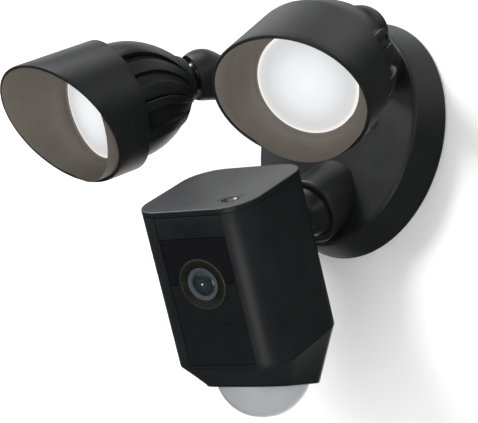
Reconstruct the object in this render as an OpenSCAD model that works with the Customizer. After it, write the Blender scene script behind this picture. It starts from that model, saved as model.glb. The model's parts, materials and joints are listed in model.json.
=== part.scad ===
// Floodlight security camera: a wall base with two ball-jointed lamps and a ball-jointed camera.
// Origin at the centre of the base's back, on the wall. The front faces -Y, +X is right, +Z is up.

/* [Base] */
// Radius of the base at the wall
base_r = 67.5; // [66:0.5:72]
// Radius of the base's flat front face
base_front_r = 62; // [61:0.5:64]
// Depth of the base, from the wall to its front face
base_t = 19; // [18:0.5:21]
// Wall thickness of the base cover
base_wall = 2.6; // [2:0.2:3]
// Distance between the centres of the crossbar's two slots
slot_spacing = 88.9; // [85:0.1:92]
// Distance between the crossbar's two studs
stud_spacing = 52; // [48:1:54]

/* [Lamps] */
// Sideways distance from the centre line to each lamp's ball
lamp_x = 66; // [64:1:72]
// Distance from the wall to each lamp's ball
lamp_y = 66; // [60:1:72]
// Height of each lamp's ball above the base's centre
lamp_z = 35; // [33:1:37]
// Left lamp: turn to the right, tilt up, roll about its own axis, in degrees
left_aim = [-11.9, -28.4, 23.7];
// Right lamp: turn to the right, tilt up, roll about its own axis, in degrees
right_aim = [22.9, -36.7, 9.6];
// Outside radius of the hood
hood_r = 38; // [37:0.5:39]
// Distance from the lamp's ball to the back edge of its hood
hood_back = 59.3; // [58:0.5:62]
// Length of the hood along its long side
hood_long = 50; // [46:1:54]
// Length of the hood along its short side
hood_short = 18.4; // [17:0.5:20]
// Radius of the diffuser
diffuser_r = 26.7; // [25:0.5:27]
// Depth of the heat sink's grooves where they meet the hood
groove_depth = 5; // [3:0.5:5.5]

/* [Camera] */
// Width of the camera's housing
cam_w = 69.3; // [66:0.5:72]
// Depth of the camera's housing
cam_d = 69.3; // [66:0.5:72]
// Height of the camera's housing without its bevelled skirt
cam_h = 85; // [84:0.5:90]
// Corner radius of the camera's housing
cam_corner = 17.6; // [16:0.5:18]
// Turn of the camera to the right, in degrees
cam_turn = 16.6; // [0:0.5:20]
// Downward pitch of the camera, in degrees
cam_pitch = 31.2; // [25:0.5:36]
// Distance from the camera's ball to the back of its housing
neck_length = 48.7; // [46:0.5:52]

/* [Hidden] */
$fn = 96;
far = 200;
gap = 0.1;

// Base
rim_wall = 3;
bar_size = [108, 30, 2];
slot_r = 2.4;
slot_length = 12;
stud_at = [stud_spacing / 2, 8];
stud_r = 2;
stud_hole_r = 2.3;
foot_at = [39, 30];
foot_r = 11.2;
spigot_r = 7;
wire_r = 3.5;
board_size = [46, 28, 1.6];
board_depth = 8.5;
board_z = 32;
block_size = [18, 9, 11];
seal_r = 9;

// Lamp ball joint, from the centre of the ball outwards
ball_r = 8.8;
seat_in = ball_r + gap;
seat_out = 10.3;
bulb_r = 14.9;
bulb_shift = 2;
bulb_slope = 15;
cup_mouth = 68;
seat_edge = 58;
stem_r = 3.8;
running = 0.05;
cup_turn = 17.4;
cup_tilt = -27;

// Heat sink: a bell from its collar to the hood; each groove of one half has a start and a width in degrees
collar_z = 13.6;
collar_r = 15;
lip_z = 10.3;
lip_r = 14;
bell_power = 2.2;
bell_steps = 12;
groove_start = 0.1;
grooves = [[-58, 16.4], [-33.2, 1.5], [-18.9, 10.4], [3.4, 8.8], [16.9, 94.1]];
flange = 0.8;
back_room = 16.4;
casting = 2.6;
wall_z = 20;
spigot_len = 6;
hood_wall = 1.9;
shelf_r = 24;

// Camera ball joint
cam_ball = [0, -30.3, -44.4];
socket_tilt = 36;
cam_ball_r = 15.3;
cam_seat_in = cam_ball_r + gap;
cam_seat_out = 16.8;
socket_r = 18.8;
socket_rim = 4.8;
cam_seat_edge = 60;
neck_r = 8;
neck_drop = 40.8;

// Camera housing, in its own frame: x right, y back, z up, top at 0
wall = 2.2;
front_wall = 4.4;
back_wall = 4.6;
cover_t = 2.2;
cap_t = 3;
plate_w = 39;
plate_t = 2;
seam = 0.3;
band_z = -14.6;
lens_z = -38.9;
plate_end = -82.5;
ring_r = 14.4;
barrel_r = 9.8;
glass_r = 6.4;
button_at = [19, -21];
button_r = 4.4;
skirt_w = 51;
skirt_drop = 22.3;
skirt_shift = -3.7;
skirt_tilt = 21.5;
dome_r = 23.9;
dome_h = 17;
boss_len = 20;
cover_size = [46, 70];
opening_size = [34, 60];
screw_at = [20, 32];
pillar_at = [14.5, 27];
board_y = 6;

// Outward from the wall becomes +Z and up becomes +Y
module on_wall() {
    rotate([90, 0, 0]) children();
}

// Points +Z from one place to another
module toward(from, to) {
    d = to - from;
    translate(from) rotate([0, acos(d[2] / norm(d)), atan2(d[1], d[0])]) children();
}

// A lamp's own frame: origin at the ball, +Z along the lamp, +Y to the hood's long side
module lamp_frame(side) {
    aim = side < 0 ? left_aim : right_aim;
    translate([side * lamp_x, -lamp_y, lamp_z])
        on_wall()
            rotate([-aim[1], aim[0], 0])
                rotate([0, 0, aim[2]])
                    children();
}

// The frame of the cup that holds a lamp's ball: +Z out of the cup's mouth
module cup_frame(side) {
    translate([side * lamp_x, -lamp_y, lamp_z])
        on_wall()
            rotate([-cup_tilt, side * cup_turn, 0])
                children();
}

// The frame of the camera's socket: +Z out of the socket's mouth
module socket_frame() {
    translate(cam_ball) on_wall() rotate([socket_tilt, 0, 0]) children();
}

// The camera's own frame
module camera_frame() {
    translate(cam_ball)
        rotate([cam_pitch, 0, cam_turn])
            translate([0, -cam_d / 2 - neck_length, neck_drop])
                children();
}

// The frame of the lens: +Z out through the front of the camera
module lens_frame() {
    translate([0, -cam_d / 2, lens_z]) rotate([90, 0, 0]) children();
}

// The frame of the stem that carries the camera: +Z from the ball into the housing
module neck_frame() {
    translate(cam_ball) rotate([cam_pitch, 0, cam_turn]) rotate([90, 0, 0]) children();
}

// A ring with its bottom at 0
module ring(outer, inner, h) {
    difference() {
        cylinder(r = outer, h = h);
        translate([0, 0, -1]) cylinder(r = inner, h = h + 2);
    }
}

// A square outline with round corners
module rounded(w, d, r) {
    square([w - 2 * r, d], center = true);
    square([w, d - 2 * r], center = true);
    for (x = [-1, 1], y = [-1, 1]) {
        translate([x * (w / 2 - r), y * (d / 2 - r)]) circle(r = r);
    }
}

// The room for a ball and, behind it, for its seat: +Z is the mouth
module ball_pocket(ball, seat) {
    sphere(r = ball + gap);
    intersection() {
        sphere(r = seat + gap);
        translate([0, 0, -far - 1]) cylinder(r = far, h = far);
    }
}

// A dished seat behind a ball, out to an angle from the middle of its back
module dish(outer, inner, edge, hole) {
    reach = 2 * outer;
    difference() {
        intersection() {
            sphere(r = outer);
            translate([0, 0, -reach]) cylinder(r1 = reach * tan(edge), r2 = 0, h = reach);
        }
        sphere(r = inner);
        translate([0, 0, -reach]) cylinder(r = hole, h = reach);
    }
}

// ---- Base ----

module base_housing() {
    draft = (base_r - base_front_r - 1) / (base_t - 1.5);
    color([0.05, 0.05, 0.055])
        difference() {
            union() {
                on_wall()
                    rotate_extrude()
                        polygon([
                            [base_r - rim_wall, 0], [base_r, 0], [base_r - 2 * draft, 2],
                            [base_front_r + 1, base_t - 1.5], [base_front_r + 0.5, base_t - 0.5],
                            [base_front_r - 0.6, base_t], [0, base_t], [0, base_t - base_wall],
                            [base_front_r - 2, base_t - base_wall]]);
                for (x = [-1, 1]) {
                    translate([x * stud_at[0], 0, stud_at[1]])
                        on_wall()
                            translate([0, 0, 6]) cylinder(r = 5, h = base_t - 8);
                    for (z = [-11, 11]) {
                        translate([x * 20, 0, board_z + z])
                            on_wall()
                                translate([0, 0, board_depth + board_size[2]])
                                    cylinder(r = 2.4, h = base_t - 11.1);
                    }
                }
            }
            for (x = [-1, 1]) {
                translate([x * stud_at[0], 1, stud_at[1]])
                    on_wall() cylinder(r = stud_hole_r, h = base_t + 2);
                translate([x * foot_at[0], 0, foot_at[1]])
                    on_wall() cylinder(r = spigot_r + gap, h = base_t + 1);
            }
            socket_frame() translate([0, 0, -40]) cylinder(r = socket_r + gap, h = 80);
        }
}

module wall_gasket() {
    color([0.2, 0.2, 0.2]) on_wall() ring(base_r - rim_wall - 1, base_r - 8, 2);
}

module mounting_bracket() {
    color([0.75, 0.76, 0.78])
        on_wall()
            difference() {
                translate([0, 0, bar_size[2] / 2]) cube(bar_size, center = true);
                for (x = [-1, 1]) {
                    translate([x * slot_spacing / 2, 0, -1])
                        linear_extrude(bar_size[2] + 2) {
                            square([slot_length - 2 * slot_r, 2 * slot_r], center = true);
                            for (e = [-1, 1]) {
                                translate([e * (slot_length / 2 - slot_r), 0]) circle(r = slot_r);
                            }
                        }
                    translate([x * stud_at[0], stud_at[1], -1]) cylinder(r = stud_r, h = 4);
                }
                translate([0, -8, -1]) cylinder(r = 1.75, h = 4);
            }
}

module bracket_studs() {
    color([0.8, 0.8, 0.82])
        on_wall()
            for (x = [-1, 1]) {
                translate([x * stud_at[0], stud_at[1], 0]) {
                    cylinder(r = stud_r, h = base_t + 5);
                    translate([0, 0, bar_size[2]]) cylinder(r = 3.6, h = 1.6);
                }
            }
}

module stud_washers() {
    color([0.12, 0.12, 0.12])
        on_wall()
            for (x = [-1, 1]) {
                translate([x * stud_at[0], stud_at[1], base_t]) ring(5, stud_hole_r, 1);
            }
}

module cap_nuts() {
    color([0.1, 0.1, 0.1])
        on_wall()
            for (x = [-1, 1]) {
                translate([x * stud_at[0], stud_at[1], base_t + 1])
                    difference() {
                        union() {
                            cylinder(r = 4.6, h = 3.4, $fn = 6);
                            translate([0, 0, 2.6])
                                intersection() {
                                    sphere(r = 3.9);
                                    cylinder(r = 5, h = 5);
                                }
                        }
                        translate([0, 0, -1]) cylinder(r = stud_r, h = 5);
                    }
            }
}

module ground_screw() {
    color([0.1, 0.5, 0.2])
        translate([0, 0, -8])
            on_wall() {
                cylinder(r = 1.75, h = 3);
                translate([0, 0, bar_size[2]]) cylinder(r = 4, h = 2.4);
            }
}

module driver_board() {
    color([0.1, 0.35, 0.2])
        translate([0, -board_depth - board_size[2] / 2, board_z])
            cube([board_size[0], board_size[2], board_size[1]], center = true);
}

module transformer() {
    color([0.85, 0.75, 0.2])
        translate([-9, -board_depth + 3, board_z]) cube([20, 6, 20], center = true);
}

module capacitors() {
    color([0.15, 0.15, 0.3])
        for (z = [-8, 0, 8]) {
            translate([12, -board_depth, board_z + z])
                rotate([-90, 0, 0]) cylinder(r = 3.5, h = 6);
        }
}

module terminal_block() {
    color([0.9, 0.9, 0.88])
        translate([-38, base_wall - base_t + block_size[1] / 2, -29])
            difference() {
                cube(block_size, center = true);
                for (x = [-5.5, 0, 5.5]) {
                    translate([x, 1, 0]) cylinder(r = 1.9, h = far, center = true);
                }
            }
}

module arm(side) {
    ball = [side * lamp_x, -lamp_y, lamp_z];
    foot = [side * foot_at[0], -base_t, foot_at[1]];
    reach = norm(ball - foot);
    blend_at = bulb_shift + bulb_r * sin(bulb_slope);
    blend_r = bulb_r * cos(bulb_slope) - 0.3;
    blend = (blend_r - foot_r) / tan(bulb_slope);
    color([0.05, 0.05, 0.055])
        difference() {
            union() {
                translate(ball + bulb_shift * (foot - ball) / reach) sphere(r = bulb_r);
                toward(ball, foot) translate([0, 0, blend_at]) cylinder(r1 = blend_r, r2 = foot_r, h = blend);
                intersection() {
                    toward(foot, ball)
                        translate([0, 0, -10])
                            cylinder(r = foot_r, h = reach + 10 - bulb_shift);
                    translate([-far / 2, -base_t - far, -far / 2]) cube(far);
                }
                translate([foot[0], 0, foot[2]])
                    on_wall() translate([0, 0, 7]) cylinder(r = spigot_r, h = base_t - 6);
            }
            cup_frame(side) {
                ball_pocket(ball_r, seat_out);
                cylinder(r1 = 0, r2 = 2 * bulb_r * tan(cup_mouth), h = 2 * bulb_r);
            }
            toward(foot, ball) cylinder(r = wire_r, h = reach);
            translate([foot[0], 0, foot[2]]) on_wall() cylinder(r = wire_r, h = base_t + 2);
            translate([foot[0], 0, foot[2]])
                on_wall() translate([0, 0, base_t - 0.01]) ring(seal_r + gap, spigot_r, 1);
        }
}

module left_arm() { arm(-1); }
module right_arm() { mirror([1, 0, 0]) arm(-1); }

module arm_seals() {
    color([0.15, 0.15, 0.15])
        for (x = [-1, 1]) {
            translate([x * foot_at[0], 0, foot_at[1]])
                on_wall() translate([0, 0, base_t]) ring(seal_r, spigot_r + gap, 0.9);
        }
}

module arm_nuts() {
    color([0.75, 0.75, 0.78])
        for (x = [-1, 1]) {
            translate([x * foot_at[0], 0, foot_at[1]])
                on_wall()
                    translate([0, 0, base_t - base_wall - 4])
                        difference() {
                            cylinder(r = 11, h = 4, $fn = 6);
                            translate([0, 0, -1]) cylinder(r = spigot_r + running, h = 6);
                        }
        }
}

module camera_socket() {
    color([0.05, 0.05, 0.055])
        difference() {
            intersection() {
                socket_frame()
                    rotate_extrude()
                        polygon([
                            [0, -34], [socket_r, -34], [socket_r, socket_rim - 1.6],
                            [socket_r - 0.4, socket_rim - 0.4], [socket_r - 1.2, socket_rim],
                            [0, socket_rim]]);
                translate([-far / 2, -far - 9, -far / 2]) cube(far);
            }
            socket_frame() {
                ball_pocket(cam_ball_r, cam_seat_out);
                translate([0, 0, -60]) cylinder(r = 10, h = 60);
            }
        }
}

module socket_clamp() {
    depth = base_t - base_wall;
    color([0.3, 0.3, 0.32])
        difference() {
            on_wall()
                translate([0, 0, depth - 3])
                    intersection() {
                        translate([0, -36, 0]) cylinder(r = 27, h = 3);
                        cylinder(r = base_front_r - 4, h = 3);
                    }
            socket_frame() translate([0, 0, -60]) cylinder(r = socket_r + gap, h = 80);
        }
}

// ---- Lamps ----

module lamp_seat(side) {
    color([0.85, 0.85, 0.82])
        cup_frame(side) dish(seat_out, seat_in, seat_edge, 4);
}

module lamp_ball(side) {
    color([0.55, 0.55, 0.57])
        lamp_frame(side)
            difference() {
                union() {
                    sphere(r = ball_r);
                    cylinder(r = stem_r, h = wall_z + 8);
                }
                translate([0, 0, -ball_r - 1]) cylinder(r = 1.8, h = wall_z + 12 + ball_r);
            }
}

module lamp_stem_nut(side) {
    color([0.75, 0.75, 0.78])
        lamp_frame(side)
            translate([0, 0, wall_z + 0.4])
                difference() {
                    cylinder(r = 7.5, h = 5, $fn = 6);
                    translate([0, 0, -1]) cylinder(r = stem_r, h = 7);
                }
}

// Radius of the bell at a fraction of its length, from the collar to the hood
function bell(f) = collar_r + (hood_r - collar_r) * (1 - pow(1 - f, bell_power));
function bell_z(f) = collar_z + f * (hood_back - collar_z);
// Radius of the floor of the grooves
function floor_r(f) = bell(f) - groove_depth * max(0, f - groove_start) / (1 - groove_start);
steps = [for (i = [0 : bell_steps]) i / bell_steps];

module heat_sink(side) {
    outline = [for (f = steps) [bell(f), bell_z(f)]];
    groove_end = hood_back - flange;
    groove_floor = [for (f = steps) if (f >= groove_start && f < 1) [floor_r(f), bell_z(f)]];
    hollow = [for (f = steps) if (bell_z(f) > wall_z + 4) [floor_r(f) - casting, bell_z(f)]];
    front = hood_back + spigot_len;
    color([0.05, 0.05, 0.055])
        lamp_frame(side)
            difference() {
                rotate_extrude()
                    polygon(concat(
                        [[0, lip_z], [lip_r, lip_z], [collar_r, collar_z - 1.5]],
                        outline,
                        [[hood_r - hood_wall - gap, hood_back], [hood_r - hood_wall - gap, front],
                            [0, front]]));
                for (half = [0, 180], g = grooves) {
                    rotate([0, 0, half + g[0]])
                        rotate_extrude(angle = g[1])
                            polygon(concat(
                                groove_floor,
                                [[floor_r(1), groove_end], [hood_r + 5, groove_end],
                                    [hood_r + 5, collar_z]]));
                }
                sphere(r = back_room);
                cylinder(r = stem_r + running, h = wall_z + 10);
                rotate_extrude()
                    polygon(concat(
                        [[0, wall_z], [12, wall_z]],
                        hollow,
                        [[shelf_r, hood_back], [shelf_r, front + 1], [0, front + 1]]));
            }
}

module lamp_led_board(side) {
    color([0.9, 0.9, 0.9])
        lamp_frame(side) translate([0, 0, hood_back + spigot_len]) cylinder(r = 30, h = 1.6);
}

module lamp_leds(side) {
    color([1, 0.95, 0.6])
        lamp_frame(side)
            for (turn = [0 : 45 : 315], r = [8, 18]) {
                rotate([0, 0, turn])
                    translate([r, 0, hood_back + spigot_len + 2]) cube([3, 3, 0.8], center = true);
            }
}

module lamp_reflector(side) {
    z = hood_back + spigot_len + 1.6;
    outer = hood_r - hood_wall - gap;
    depth = outer - diffuser_r - 1.2;
    color([0.45, 0.42, 0.38])
        lamp_frame(side)
            rotate_extrude()
                polygon(concat(
                    [[diffuser_r + 0.2, z + 1.2], [outer, z + 1.2], [outer, z + 5.6 + depth]],
                    [for (a = [0 : 15 : 90]) [outer - 1 - depth * sin(a), z + 5.6 + depth * (1 - sin(a)) * cos(a)]],
                    [[diffuser_r + 0.2, z + 5.2]]));
}

module lamp_lens_seal(side) {
    color([0.1, 0.1, 0.1])
        lamp_frame(side)
            translate([0, 0, hood_back + spigot_len + 1.6]) ring(29, diffuser_r - 3, 1.2);
}

module lamp_diffuser(side) {
    z = hood_back + spigot_len + 2.8;
    color([1, 1, 1])
        lamp_frame(side)
            rotate_extrude()
                polygon(concat(
                    [[0, z], [diffuser_r, z], [diffuser_r, z + 2.6]],
                    [for (f = [0.97 : -0.1 : 0]) [diffuser_r * f, z + 4.8 - 1.6 * f * f]],
                    [[0, z + 4.8]]));
}

module hood(side) {
    slope = atan((hood_long - hood_short) / (2 * hood_r));
    color([0.05, 0.05, 0.055])
        lamp_frame(side)
            translate([0, 0, hood_back])
                difference() {
                    cylinder(r = hood_r, h = hood_long);
                    translate([0, 0, -1]) cylinder(r = hood_r - hood_wall, h = hood_long + 2);
                    translate([0, 0, (hood_long + hood_short) / 2])
                        rotate([slope, 0, 0])
                            translate([-far / 2, -far / 2, 0]) cube(far);
                }
}

module left_seat() { lamp_seat(-1); }
module left_ball() { lamp_ball(-1); }
module left_stem_nut() { lamp_stem_nut(-1); }
module left_heat_sink() { heat_sink(-1); }
module left_led_board() { lamp_led_board(-1); }
module left_leds() { lamp_leds(-1); }
module left_reflector() { lamp_reflector(-1); }
module left_diffuser() { lamp_diffuser(-1); }
module left_lens_seal() { lamp_lens_seal(-1); }
module left_hood() { hood(-1); }
module right_seat() { lamp_seat(1); }
module right_ball() { lamp_ball(1); }
module right_stem_nut() { lamp_stem_nut(1); }
module right_heat_sink() { heat_sink(1); }
module right_led_board() { lamp_led_board(1); }
module right_leds() { lamp_leds(1); }
module right_reflector() { lamp_reflector(1); }
module right_diffuser() { lamp_diffuser(1); }
module right_lens_seal() { lamp_lens_seal(1); }
module right_hood() { hood(1); }

// ---- Camera joint ----

module camera_seat() {
    color([0.85, 0.85, 0.82])
        socket_frame() dish(cam_seat_out, cam_seat_in, cam_seat_edge, 6);
}

module camera_ball() {
    color([0.05, 0.05, 0.055])
        neck_frame()
            difference() {
                union() {
                    sphere(r = cam_ball_r);
                    cylinder(r = neck_r, h = neck_length + 9);
                }
                translate([0, 0, -cam_ball_r - 1]) cylinder(r = 3, h = far);
            }
}

module camera_stem_nut() {
    color([0.75, 0.75, 0.78])
        neck_frame()
            translate([0, 0, neck_length + 2.6])
                difference() {
                    cylinder(r = 12, h = 5, $fn = 6);
                    translate([0, 0, -1]) cylinder(r = neck_r, h = 7);
                }
}

// ---- Camera housing ----

module outline(inset = 0) {
    rounded(cam_w - 2 * inset, cam_d - 2 * inset, cam_corner - inset);
}

// The part of the outline that the front plates fill
module plate_outline(width) {
    intersection() {
        outline();
        translate([-width / 2, -cam_d / 2]) square([width, plate_t]);
    }
}

module camera_shell() {
    color([0.05, 0.05, 0.055])
        camera_frame()
            difference() {
                translate([0, 0, -cam_h]) linear_extrude(cam_h - cap_t) outline();
                translate([0, 0, -cam_h - 1])
                    linear_extrude(cam_h + 1)
                        intersection() {
                            outline(wall);
                            translate([-cam_w / 2, front_wall - cam_d / 2])
                                square([cam_w, cam_d - front_wall - back_wall]);
                        }
                translate([0, 0, plate_end - seam])
                    linear_extrude(-plate_end) plate_outline(plate_w + 2 * seam);
                lens_frame() translate([0, 0, -10]) cylinder(r = barrel_r + 0.2, h = 20);
                translate([-11, -cam_d / 2 - 1, -26]) cube([22, 10, 8]);
                translate([0, cam_d / 2, -cam_h / 2]) {
                    cube([cover_size[0], 2 * cover_t, cover_size[1]], center = true);
                    cube([opening_size[0], 20, opening_size[1]], center = true);
                    for (x = [-1, 1], z = [-1, 1]) {
                        translate([x * screw_at[0], -8, z * screw_at[1]])
                            rotate([-90, 0, 0]) cylinder(r = 1.25, h = 10);
                    }
                }
            }
}

module top_cap() {
    color([0.12, 0.12, 0.125])
        camera_frame()
            difference() {
                translate([0, 0, -cap_t]) linear_extrude(cap_t) outline();
                translate([button_at[0], button_at[1], -cap_t - 1])
                    cylinder(r = button_r + 0.35, h = cap_t + 2);
                translate([button_at[0], button_at[1], -0.7]) cylinder(r = button_r + 1.4, h = 2);
            }
}

module setup_button() {
    color([0.14, 0.14, 0.145])
        camera_frame()
            translate([button_at[0], button_at[1], 0]) {
                translate([0, 0, -cap_t - 1.6]) cylinder(r = button_r, h = cap_t + 1.4);
                translate([0, 0, -cap_t - 1.6]) cylinder(r = button_r + 1, h = 1.2);
            }
}

module front_plate(top, bottom) {
    camera_frame()
        difference() {
            translate([0, 0, bottom]) linear_extrude(top - bottom) plate_outline(plate_w);
            lens_frame() translate([0, 0, -10]) cylinder(r = ring_r + 0.15, h = 20);
            translate([15, -cam_d / 2 + 5, -30.6]) rotate([90, 0, 0]) cylinder(r = 0.9, h = 10);
        }
}

module upper_fascia() { color([0.06, 0.06, 0.065]) front_plate(-cap_t - seam, band_z); }
module ir_window() { color([0.02, 0.02, 0.02]) front_plate(band_z - seam, lens_z + seam / 2); }
module lower_fascia() { color([0.05, 0.05, 0.055]) front_plate(lens_z - seam / 2, plate_end); }

module lens_ring() {
    color([0.03, 0.03, 0.03])
        camera_frame() lens_frame() translate([0, 0, -plate_t]) ring(ring_r, barrel_r + 0.05, plate_t + 0.3);
}

module lens_barrel() {
    color([0.25, 0.28, 0.3])
        camera_frame()
            lens_frame()
                difference() {
                    translate([0, 0, -20]) cylinder(r = barrel_r, h = 20);
                    translate([0, 0, -4]) cylinder(r = glass_r + 0.05, h = 5);
                    translate([0, 0, -21]) cylinder(r = 4, h = 22);
                }
}

module lens_glass() {
    color([0.1, 0.13, 0.16])
        camera_frame()
            lens_frame()
                intersection() {
                    translate([0, 0, -4]) cylinder(r = glass_r, h = 6);
                    translate([0, 0, -12.6]) sphere(r = 12.8);
                }
}

module sensor_board() {
    color([0.1, 0.35, 0.2])
        camera_frame() lens_frame() translate([-14, -14, -21.7]) cube([28, 28, 1.6]);
}

module main_board() {
    color([0.1, 0.35, 0.2])
        camera_frame() translate([-26, board_y, -78]) cube([52, 1.6, 68]);
}

module ir_leds() {
    color([0.3, 0.3, 0.35])
        camera_frame()
            for (x = [-6, 6]) {
                translate([x, -cam_d / 2 + plate_t + 0.4, -22])
                    rotate([-90, 0, 0]) cylinder(r = 2.5, h = 6);
            }
}

module light_sensor() {
    color([0.4, 0.4, 0.45])
        camera_frame()
            translate([15, -cam_d / 2 + plate_t, -30.6]) rotate([90, 0, 0]) cylinder(r = 0.85, h = plate_t);
}

module speaker() {
    color([0.15, 0.15, 0.15])
        camera_frame()
            translate([0, cam_d / 2 - cover_t - 6, -63]) rotate([-90, 0, 0]) cylinder(r = 9, h = 6);
}

// The skirt's lower end, a plane leaning down towards the back
module skirt_frame() {
    translate([0, skirt_shift, -cam_h - skirt_drop]) rotate([-skirt_tilt, 0, 0]) children();
}

module skirt(inset) {
    hull() {
        translate([0, 0, -cam_h - 0.02]) linear_extrude(0.01) outline(inset, $fn = 32);
        skirt_frame()
            linear_extrude(0.01)
                rounded(skirt_w - 2 * inset, skirt_w - 2 * inset, 15 - inset, $fn = 32);
    }
}

module bottom_bezel() {
    color([0.05, 0.05, 0.055])
        camera_frame()
            difference() {
                skirt(0);
                translate([0, 0, 2]) skirt(2.4);
                skirt_frame() cylinder(r = dome_r - 2.4, h = 20, center = true, $fn = 48);
            }
}

module pir_dome() {
    cap_r = (dome_r * dome_r + dome_h * dome_h) / (2 * dome_h);
    color([0.95, 0.95, 0.95])
        camera_frame()
            skirt_frame()
                translate([0, 0, -0.05])
                    difference() {
                        intersection() {
                            translate([0, 0, cap_r - dome_h]) sphere(r = cap_r);
                            translate([0, 0, -far]) cylinder(r = dome_r, h = far);
                        }
                        intersection() {
                            translate([0, 0, cap_r - dome_h]) sphere(r = cap_r - 1.4);
                            translate([0, 0, -far]) cylinder(r = dome_r, h = far + 1);
                        }
                    }
}

module pir_sensor() {
    color([0.7, 0.7, 0.72])
        camera_frame() skirt_frame() translate([0, 0, 4]) cylinder(r = 4.6, h = 4.5);
}

module rear_cover() {
    color([0.05, 0.05, 0.055])
        camera_frame()
            difference() {
                union() {
                    translate([0, cam_d / 2 - cover_t / 2, -cam_h / 2])
                        cube([cover_size[0] - 0.4, cover_t, cover_size[1] - 0.4], center = true);
                    translate([0, cam_d / 2 - 1, -neck_drop])
                        rotate([-90, 0, 0]) cylinder(r1 = 16, r2 = 11, h = boss_len + 1);
                    for (x = [-1, 1], z = [-1, 1]) {
                        translate([x * pillar_at[0], board_y + 1.6, -cam_h / 2 + z * pillar_at[1]])
                            rotate([-90, 0, 0]) cylinder(r = 1.8, h = cam_d / 2 - board_y - 3);
                    }
                }
                translate([0, 0, -neck_drop])
                    rotate([-90, 0, 0]) cylinder(r = neck_r + running, h = far);
                for (x = [-6 : 3 : 6]) {
                    translate([x, 20, -63]) rotate([-90, 0, 0]) cylinder(r = 0.8, h = far);
                }
                for (x = [-1, 1], z = [-1, 1]) {
                    translate([x * screw_at[0], 20, -cam_h / 2 + z * screw_at[1]])
                        rotate([-90, 0, 0]) cylinder(r = 1.3, h = far);
                }
            }
}

module housing_screws() {
    color([0.7, 0.7, 0.72])
        camera_frame()
            for (x = [-1, 1], z = [-1, 1]) {
                translate([x * screw_at[0], cam_d / 2, -cam_h / 2 + z * screw_at[1]])
                    rotate([90, 0, 0]) {
                        cylinder(r = 1.2, h = back_wall);
                        translate([0, 0, -1]) cylinder(r = 2.4, h = 1);
                    }
            }
}

base_housing();
wall_gasket();
mounting_bracket();
bracket_studs();
stud_washers();
cap_nuts();
ground_screw();
driver_board();
transformer();
capacitors();
terminal_block();
left_arm();
right_arm();
arm_seals();
arm_nuts();
camera_socket();
socket_clamp();
left_seat();
left_ball();
left_stem_nut();
left_heat_sink();
left_led_board();
left_leds();
left_reflector();
left_diffuser();
left_lens_seal();
left_hood();
right_seat();
right_ball();
right_stem_nut();
right_heat_sink();
right_led_board();
right_leds();
right_reflector();
right_diffuser();
right_lens_seal();
right_hood();
camera_seat();
camera_ball();
camera_stem_nut();
camera_shell();
top_cap();
setup_button();
upper_fascia();
ir_window();
lower_fascia();
lens_ring();
lens_barrel();
lens_glass();
sensor_board();
main_board();
ir_leds();
light_sensor();
speaker();
bottom_bezel();
pir_dome();
pir_sensor();
rear_cover();
housing_screws();
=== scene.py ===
import json
import math

import bmesh
import bpy
from mathutils import Matrix, Vector


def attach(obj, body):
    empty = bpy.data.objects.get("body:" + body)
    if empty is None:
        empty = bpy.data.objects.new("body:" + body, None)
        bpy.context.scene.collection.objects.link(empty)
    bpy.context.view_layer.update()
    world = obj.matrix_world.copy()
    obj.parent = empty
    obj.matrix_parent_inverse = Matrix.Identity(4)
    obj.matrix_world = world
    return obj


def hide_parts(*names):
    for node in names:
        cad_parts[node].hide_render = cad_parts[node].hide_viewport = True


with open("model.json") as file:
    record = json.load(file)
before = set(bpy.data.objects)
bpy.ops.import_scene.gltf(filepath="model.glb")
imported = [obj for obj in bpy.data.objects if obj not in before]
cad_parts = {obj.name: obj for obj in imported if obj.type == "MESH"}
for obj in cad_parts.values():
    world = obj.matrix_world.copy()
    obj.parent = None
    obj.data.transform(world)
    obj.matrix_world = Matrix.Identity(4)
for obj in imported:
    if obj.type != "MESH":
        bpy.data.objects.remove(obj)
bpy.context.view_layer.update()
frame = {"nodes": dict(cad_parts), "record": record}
nodes = frame["nodes"]

# ---------- sizes, in millimetres, in the frame of part.scad ----------
LAMP_BALL = (66, -66, 35)
AIM = {"left": (-11.9, -28.4, 23.7), "right": (22.9, -36.7, 9.6)}
HOOD_R, HOOD_BACK, HOOD_LONG, HOOD_SHORT, HOOD_WALL = 38, 59.3, 50, 18.4, 1.9
COLLAR_Z, COLLAR_R, LIP_Z, LIP_R = 13.6, 15, 10.3, 14
DIFFUSER_R = 26.7
GROOVE = 5
HALF = [(-58, 16.4), (-33.2, 1.5), (-18.9, 10.4), (3.4, 8.8), (16.9, 94.1)]
GROOVES = HALF + [(a + 180, w) for a, w in HALF]
CAM_BALL = (0, -30.3, -44.4)
CAM_TURN, CAM_PITCH, NECK, DROP = 16.6, 31.2, 48.7, 40.8
SOCKET_TILT = 36
W, D, H, CORNER = 69.3, 69.3, 85, 17.6
SKIRT_W, SKIRT_DROP, SKIRT_SHIFT, SKIRT_TILT = 51, 22.3, -3.7, 21.5
DOME_R, DOME_H = 23.9, 17
LENS_Z, BAND_Z, PLATE_END, PLATE_W, PLATE_T = -38.9, -14.6, -82.5, 39, 2
BUTTON = (19, -21)


def turn(axis, degrees):
    return Matrix.Rotation(math.radians(degrees), 4, axis)


def move(x, y, z):
    return Matrix.Translation((x, y, z))


ON_WALL = turn("X", 90)


def lamp_matrix(side):
    yaw, tilt, roll = AIM[side]
    x = LAMP_BALL[0] if side == "right" else -LAMP_BALL[0]
    return (move(x, LAMP_BALL[1], LAMP_BALL[2]) @ ON_WALL
            @ turn("Y", yaw) @ turn("X", -tilt) @ turn("Z", roll))


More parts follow.
